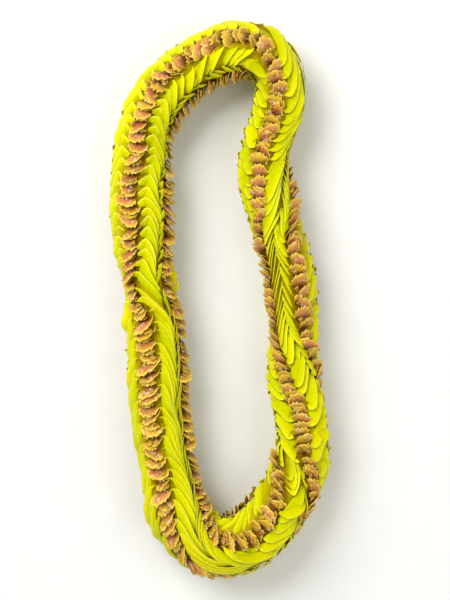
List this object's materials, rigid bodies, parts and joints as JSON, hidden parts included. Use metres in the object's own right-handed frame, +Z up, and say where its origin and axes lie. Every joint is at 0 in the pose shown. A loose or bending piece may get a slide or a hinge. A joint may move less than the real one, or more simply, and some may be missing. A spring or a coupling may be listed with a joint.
{
  "type": "flower lei",
  "caption": "Closed rope of claw-shaped lime blossoms strung on one thread, its rows of curled petals and brown-pink calyx cups turning round it, lying in a long loop.",
  "frame": {"origin": "middle of the lei's outline, on the surface it lies on", "axes": "+Y along the lying loop toward its rounder end, +X across it, +Z up from the surface"},
  "size_m": [0.1998, 0.5044, 0.0607],
  "materials": {
    "petal": "waxy petal, slightly translucent",
    "calyx": "dry, finely furred calyx",
    "thread": "twisted cotton thread"
  },
  "bodies": {
    "root": {"petals_01": "petal", "petals_02": "petal", "petals_03": "petal", "petals_04": "petal", "petals_05": "petal", "petals_06": "petal", "petals_07": "petal", "petals_08": "petal", "petals_09": "petal", "petals_10": "petal", "petals_11": "petal", "calyxes_a_01": "calyx", "calyxes_b_01": "calyx", "calyxes_c_01": "calyx", "calyxes_d_01": "calyx", "calyxes_a_02": "calyx", "calyxes_b_02": "calyx", "calyxes_c_02": "calyx", "calyxes_d_02": "calyx", "calyxes_a_03": "calyx", "calyxes_b_03": "calyx", "calyxes_c_03": "calyx", "calyxes_d_03": "calyx", "calyxes_a_04": "calyx", "calyxes_b_04": "calyx", "calyxes_c_04": "calyx", "calyxes_d_04": "calyx", "calyxes_a_05": "calyx", "calyxes_b_05": "calyx", "calyxes_c_05": "calyx", "calyxes_d_05": "calyx", "calyxes_a_06": "calyx", "calyxes_b_06": "calyx", "calyxes_c_06": "calyx", "calyxes_d_06": "calyx", "calyxes_a_07": "calyx", "calyxes_b_07": "calyx", "calyxes_c_07": "calyx", "calyxes_d_07": "calyx", "calyxes_a_08": "calyx", "calyxes_b_08": "calyx", "calyxes_c_08": "calyx", "calyxes_d_08": "calyx", "calyxes_a_09": "calyx", "calyxes_b_09": "calyx", "calyxes_c_09": "calyx", "calyxes_d_09": "calyx", "calyxes_a_10": "calyx", "calyxes_b_10": "calyx", "calyxes_c_10": "calyx", "calyxes_d_10": "calyx", "calyxes_a_11": "calyx", "calyxes_b_11": "calyx", "calyxes_c_11": "calyx", "calyxes_d_11": "calyx", "thread": "thread"}
  },
  "joints": []
}
